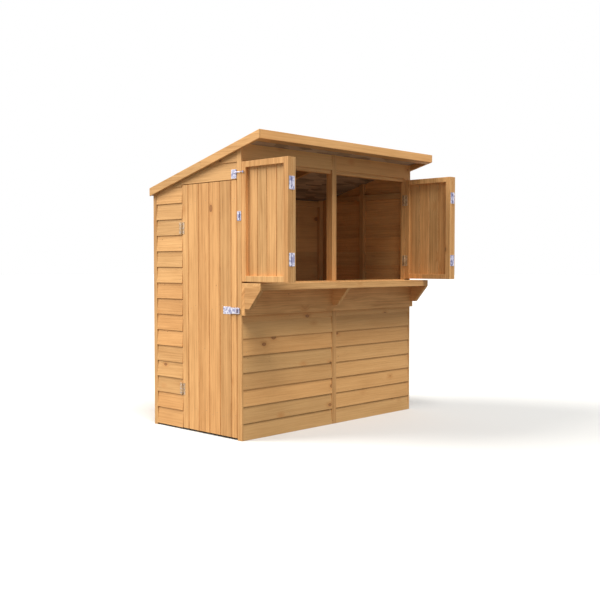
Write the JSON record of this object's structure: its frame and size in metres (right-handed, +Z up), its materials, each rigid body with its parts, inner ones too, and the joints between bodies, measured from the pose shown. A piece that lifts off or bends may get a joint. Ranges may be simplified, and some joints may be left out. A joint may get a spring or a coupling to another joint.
{
  "type": "garden bar hut",
  "caption": "Small timber garden bar with a sloping roof, a serving hatch with folding shutters, an outside counter and a boarded door in one end.",
  "frame": {"origin": "on the ground under the middle of the footprint, on the underside of the middle bearer", "axes": "+X right along the front, -Y out of the front where the counter is, +Z up"},
  "size_m": [1.878, 1.4012, 2.0308],
  "materials": {
    "cladding": "rough sawn, dip treated",
    "planed_boards": "planed, dip treated",
    "framing": "sawn, dip treated",
    "floor_and_deck": "sheet board and sawn bearers",
    "roof_felt": "mineral-faced bitumen felt",
    "zinc": "bright zinc plate"
  },
  "bodies": {
    "hut": {"bearers": "floor_and_deck", "floor_deck": "floor_and_deck", "front_posts": "framing", "front_rails": "framing", "left_studs": "framing", "left_rails": "framing", "right_studs": "framing", "right_rails": "framing", "back_studs": "framing", "back_rails": "framing", "front_lower_left": "cladding", "front_lower_right": "cladding", "front_header_boards": "cladding", "centre_strip": "planed_boards", "left_rear_wall": "cladding", "left_header_wall": "cladding", "right_wall": "cladding", "back_wall": "cladding", "front_corner_trims": "planed_boards", "rear_corner_trims": "planed_boards", "counter_top": "planed_boards", "counter_lip": "planed_boards", "counter_apron": "planed_boards", "counter_brackets": "planed_boards", "roof_deck": "floor_and_deck", "roof_felt": "roof_felt", "roof_rafter": "framing", "roof_edge_battens": "framing", "fascia_front": "planed_boards", "fascia_back": "planed_boards", "bargeboard_left": "planed_boards", "bargeboard_right": "planed_boards", "shutter_left_outer": "planed_boards", "shutter_left_inner": "planed_boards", "shutter_right_inner": "planed_boards", "shutter_right_outer": "planed_boards", "shutter_hinges": "zinc", "shutter_hook": "zinc", "turn_button": "zinc", "door_staple": "zinc", "door_frame_hinges": "zinc"},
    "door": {"door_boards": "planed_boards", "door_ledges": "framing", "door_hinge_leaves": "zinc", "door_hasp": "zinc"}
  },
  "joints": [
    {"name": "door_hinge", "type": "hinge", "parent": "hut", "child": "door", "pos_m": [-0.92, 0.1455, 0.8575], "axis": [0, 0, -1], "range_deg": [0, 110]}
  ]
}
